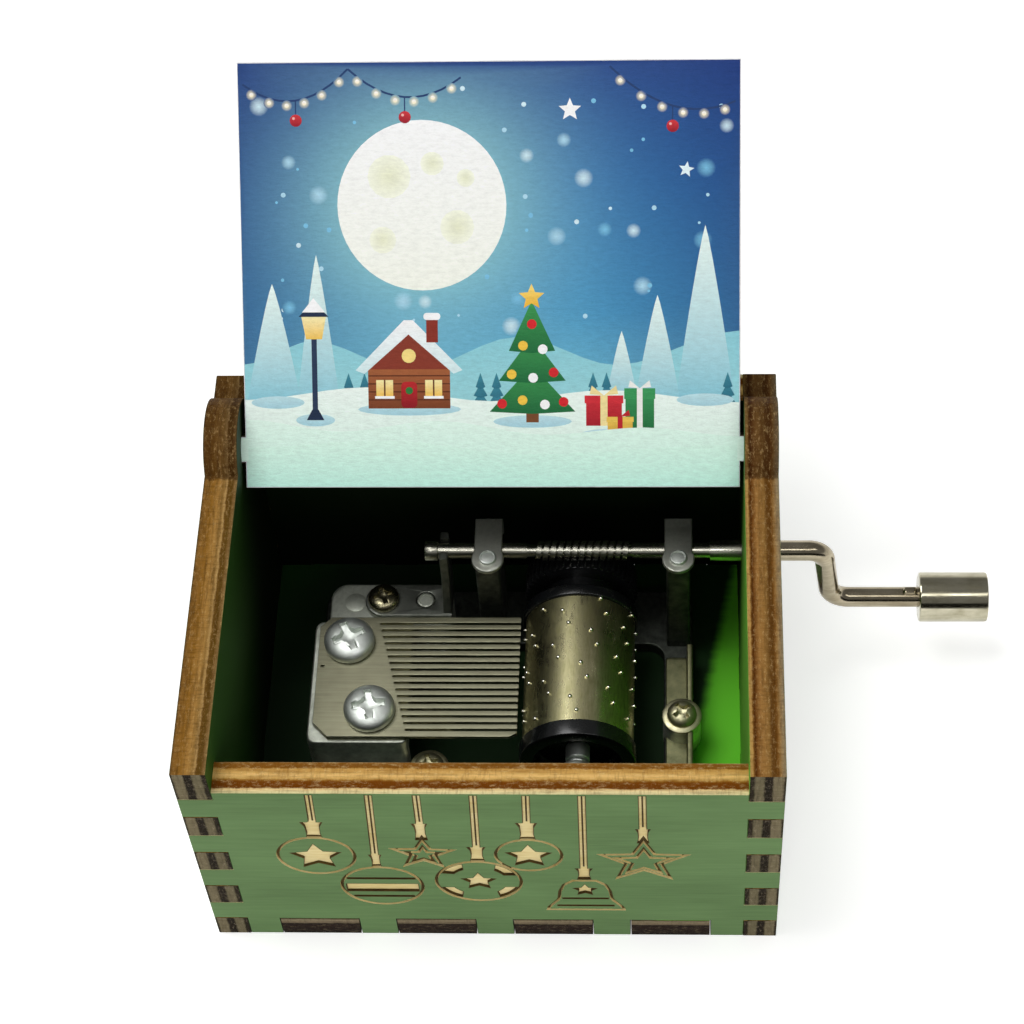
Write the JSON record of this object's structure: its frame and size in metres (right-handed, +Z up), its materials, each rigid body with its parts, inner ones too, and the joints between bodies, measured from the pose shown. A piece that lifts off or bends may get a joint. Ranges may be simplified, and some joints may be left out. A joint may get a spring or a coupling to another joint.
{
  "type": "hand-cranked music box",
  "caption": "Plywood box with finger joints and a pivoted lid, holding a hand-cranked pinned-drum and comb movement; the crank turns the drum through a worm and wheel.",
  "frame": {"origin": "centre of the box's underside", "axes": "+X towards the crank side, -Y is the front with the low panel, +Z up"},
  "size_m": [0.0895, 0.0762, 0.0661],
  "materials": {
    "plywood": "green water stain on birch plywood with laser-burnt brown edges",
    "lid_print": "green-stained plywood with a satin printed face",
    "cast_frame": "dull die-cast zinc",
    "comb_steel": "ground spring steel, brownish grey",
    "nickel": "warm nickel plate",
    "drum_nickel": "nickel-plated drum with fine turning marks",
    "cap_steel": "pressed sheet steel",
    "bright_zinc": "bright zinc plate",
    "dark_brass": "darkened brass",
    "black_plastic": "black moulded plastic"
  },
  "bodies": {
    "box": {"bottom_panel": "plywood", "front_panel": "plywood", "back_panel": "plywood", "left_panel": "plywood", "right_panel": "plywood", "movement_frame": "cast_frame", "comb": "comb_steel", "comb_screw_rear": "bright_zinc", "comb_screw_front": "bright_zinc", "frame_screw_right": "bright_zinc", "frame_screw_left": "bright_zinc", "fork_plate": "cap_steel", "fork_plate_screw": "dark_brass", "bearing_cap_left": "cap_steel", "bearing_cap_right": "cap_steel", "cap_rivet_left": "bright_zinc", "cap_rivet_right": "bright_zinc"},
    "lid": {"lid": "lid_print"},
    "crank": {"worm_shaft": "nickel", "crank_arm": "nickel"},
    "knob": {"crank_knob": "nickel"},
    "drum": {"drum_tube": "drum_nickel", "drum_end_cap": "black_plastic", "worm_wheel": "black_plastic", "drum_axle": "bright_zinc"}
  },
  "joints": [
    {"name": "lid_hinge", "type": "hinge", "parent": "box", "child": "lid", "pos_m": [0, 0.0172, 0.0356], "axis": [1, 0, 0], "range_deg": [0, 137.48]},
    {"name": "crank_turn", "type": "hinge", "parent": "box", "child": "crank", "pos_m": [0.024, 0.0134, 0.02018], "axis": [-1, 0, 0], "continuous": true},
    {"name": "knob_spin", "type": "hinge", "parent": "crank", "child": "knob", "pos_m": [0.0535, 0.0134, 0.01018], "axis": [-1, 0, 0], "continuous": true},
    {"name": "drum_turn", "type": "hinge", "parent": "box", "child": "drum", "pos_m": [0.0094, -0.0004, 0.0128], "axis": [0, 1, 0], "continuous": true}
  ],
  "couplings": [
    {"joint": "drum_turn", "follows": "crank_turn", "ratio": 0.020833}
  ]
}
